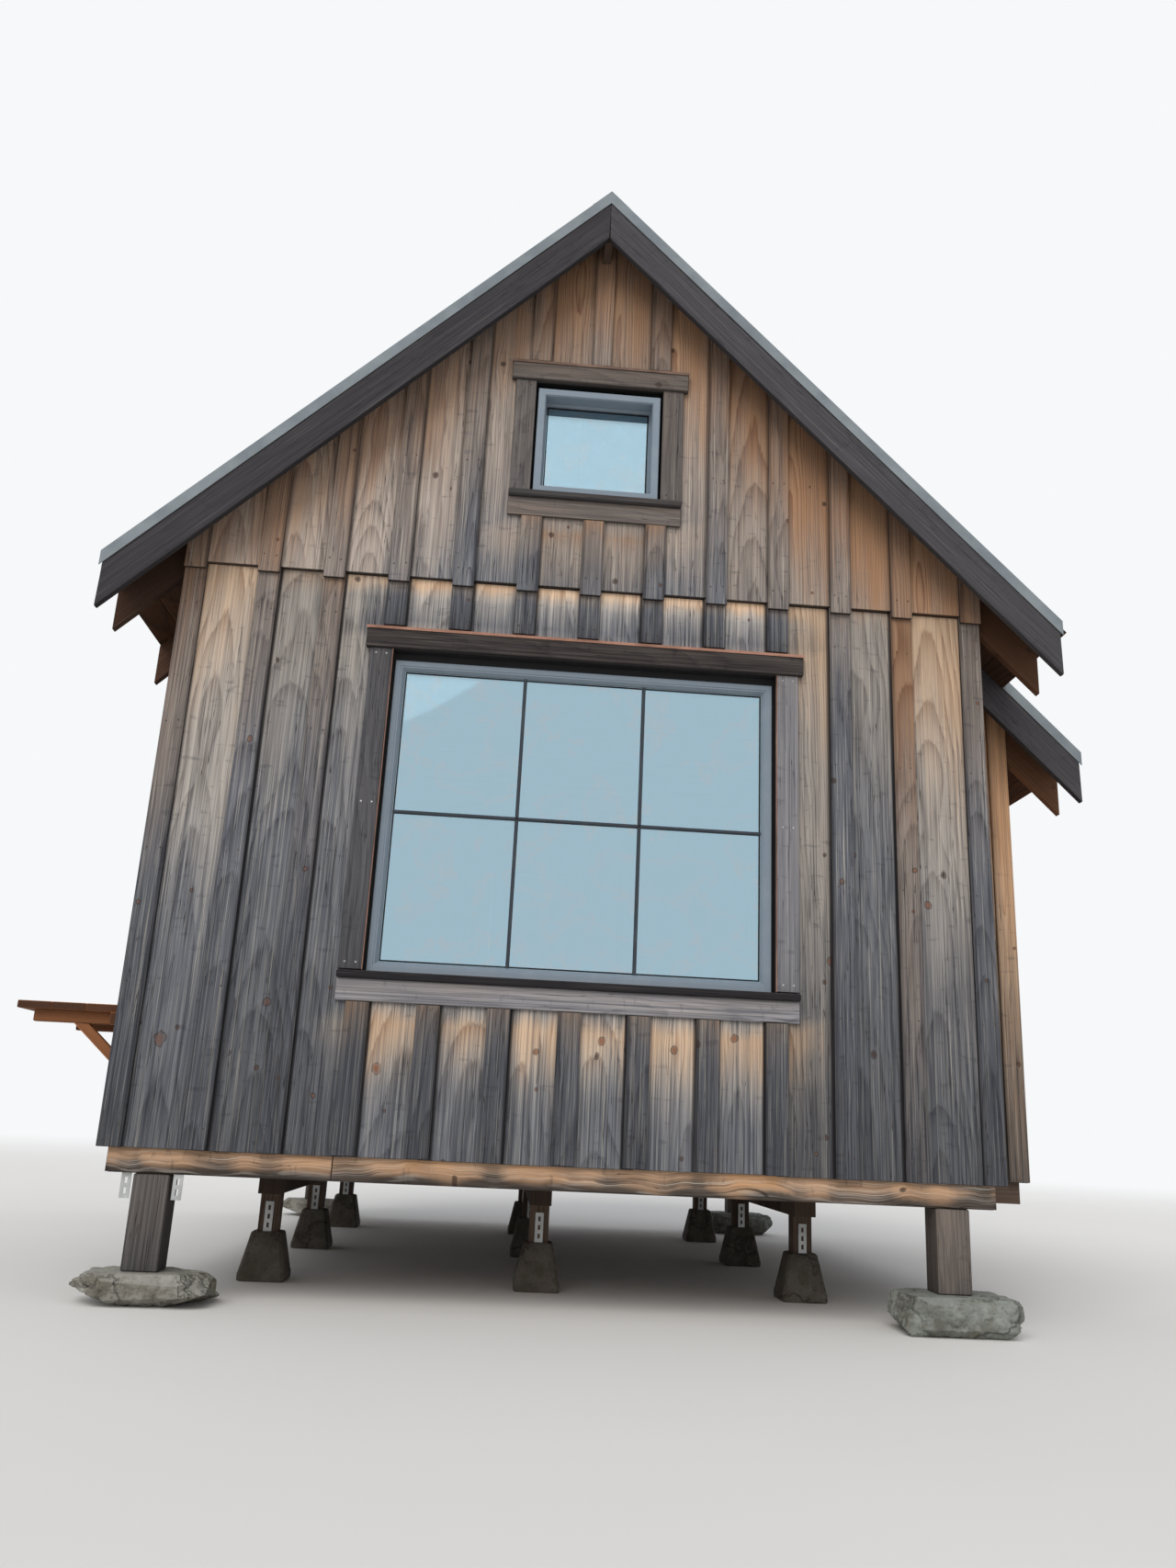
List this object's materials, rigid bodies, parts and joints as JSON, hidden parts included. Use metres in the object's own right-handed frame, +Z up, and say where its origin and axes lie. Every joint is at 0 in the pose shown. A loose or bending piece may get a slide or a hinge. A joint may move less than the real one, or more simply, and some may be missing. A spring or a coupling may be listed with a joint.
{
  "type": "gabled timber cabin",
  "caption": "Small board-and-batten timber cabin with a steep gable roof and a shallow side bay, raised on posts and stones.",
  "frame": {"origin": "on the ground, half way across the roof's whole width and half way along its depth", "axes": "+Z up; +Y from the front gable with the large window towards the rear gable; +X towards the bay"},
  "size_m": [4.75, 5.228, 5.1529],
  "materials": {
    "weathered_siding": "grey weathered cedar, brown under the eaves and ledges",
    "bay_siding": "honey-brown cedar, little weathered",
    "framing": "sawn softwood, browned",
    "rim_timber": "pale sawn edge, grey at the wet lower side",
    "posts": "grey-brown sawn timber",
    "dark_boards": "charcoal stained boards",
    "head_boards": "dark brown-grey weathered boards",
    "gable_trim": "brown weathered cedar",
    "shelf_wood": "oiled orange softwood",
    "door_wood": "brown vertical planks",
    "flashing": "dull copper-brown sheet",
    "window_frame": "satin slate blue-grey",
    "glass": "clear, strongly reflecting",
    "roof_metal": "matt galvalume",
    "galvanised": "spangled zinc",
    "field_stone": "rough pale grey-green rock",
    "pier_concrete": "damp grey cast concrete"
  },
  "bodies": {
    "root": {"corner_stones": "field_stone", "corner_posts": "posts", "post_straps": "galvanised", "pier_blocks": "pier_concrete", "pier_posts": "posts", "girders": "framing", "front_rim": "rim_timber", "floor_frame": "rim_timber", "floor_deck": "framing", "front_wall": "framing", "rear_wall": "framing", "left_wall": "framing", "right_wall": "framing", "bay_side_wall": "framing", "bay_end_walls": "framing", "front_siding": "weathered_siding", "front_gable_siding": "weathered_siding", "rear_siding": "weathered_siding", "rear_gable_siding": "weathered_siding", "left_siding": "weathered_siding", "right_siding": "weathered_siding", "bay_siding": "bay_siding", "large_window_frames": "window_frame", "large_window_glass": "glass", "large_window_trim": "weathered_siding", "large_window_heads": "head_boards", "small_window_frames": "window_frame", "small_window_glass": "glass", "small_window_trim": "gable_trim", "rear_door": "door_wood", "rear_door_trim": "weathered_siding", "loft_joists": "framing", "loft_deck": "framing", "ridge_board": "framing", "left_rafters": "framing", "right_rafters": "framing", "eave_blocking": "framing", "left_roof_deck": "framing", "right_roof_deck": "framing", "left_roof_metal": "roof_metal", "right_roof_metal": "roof_metal", "ridge_cap": "roof_metal", "gable_edges": "roof_metal", "barge_boards": "dark_boards", "bay_barge_boards": "dark_boards", "side_shelf": "shelf_wood"}
  },
  "joints": []
}
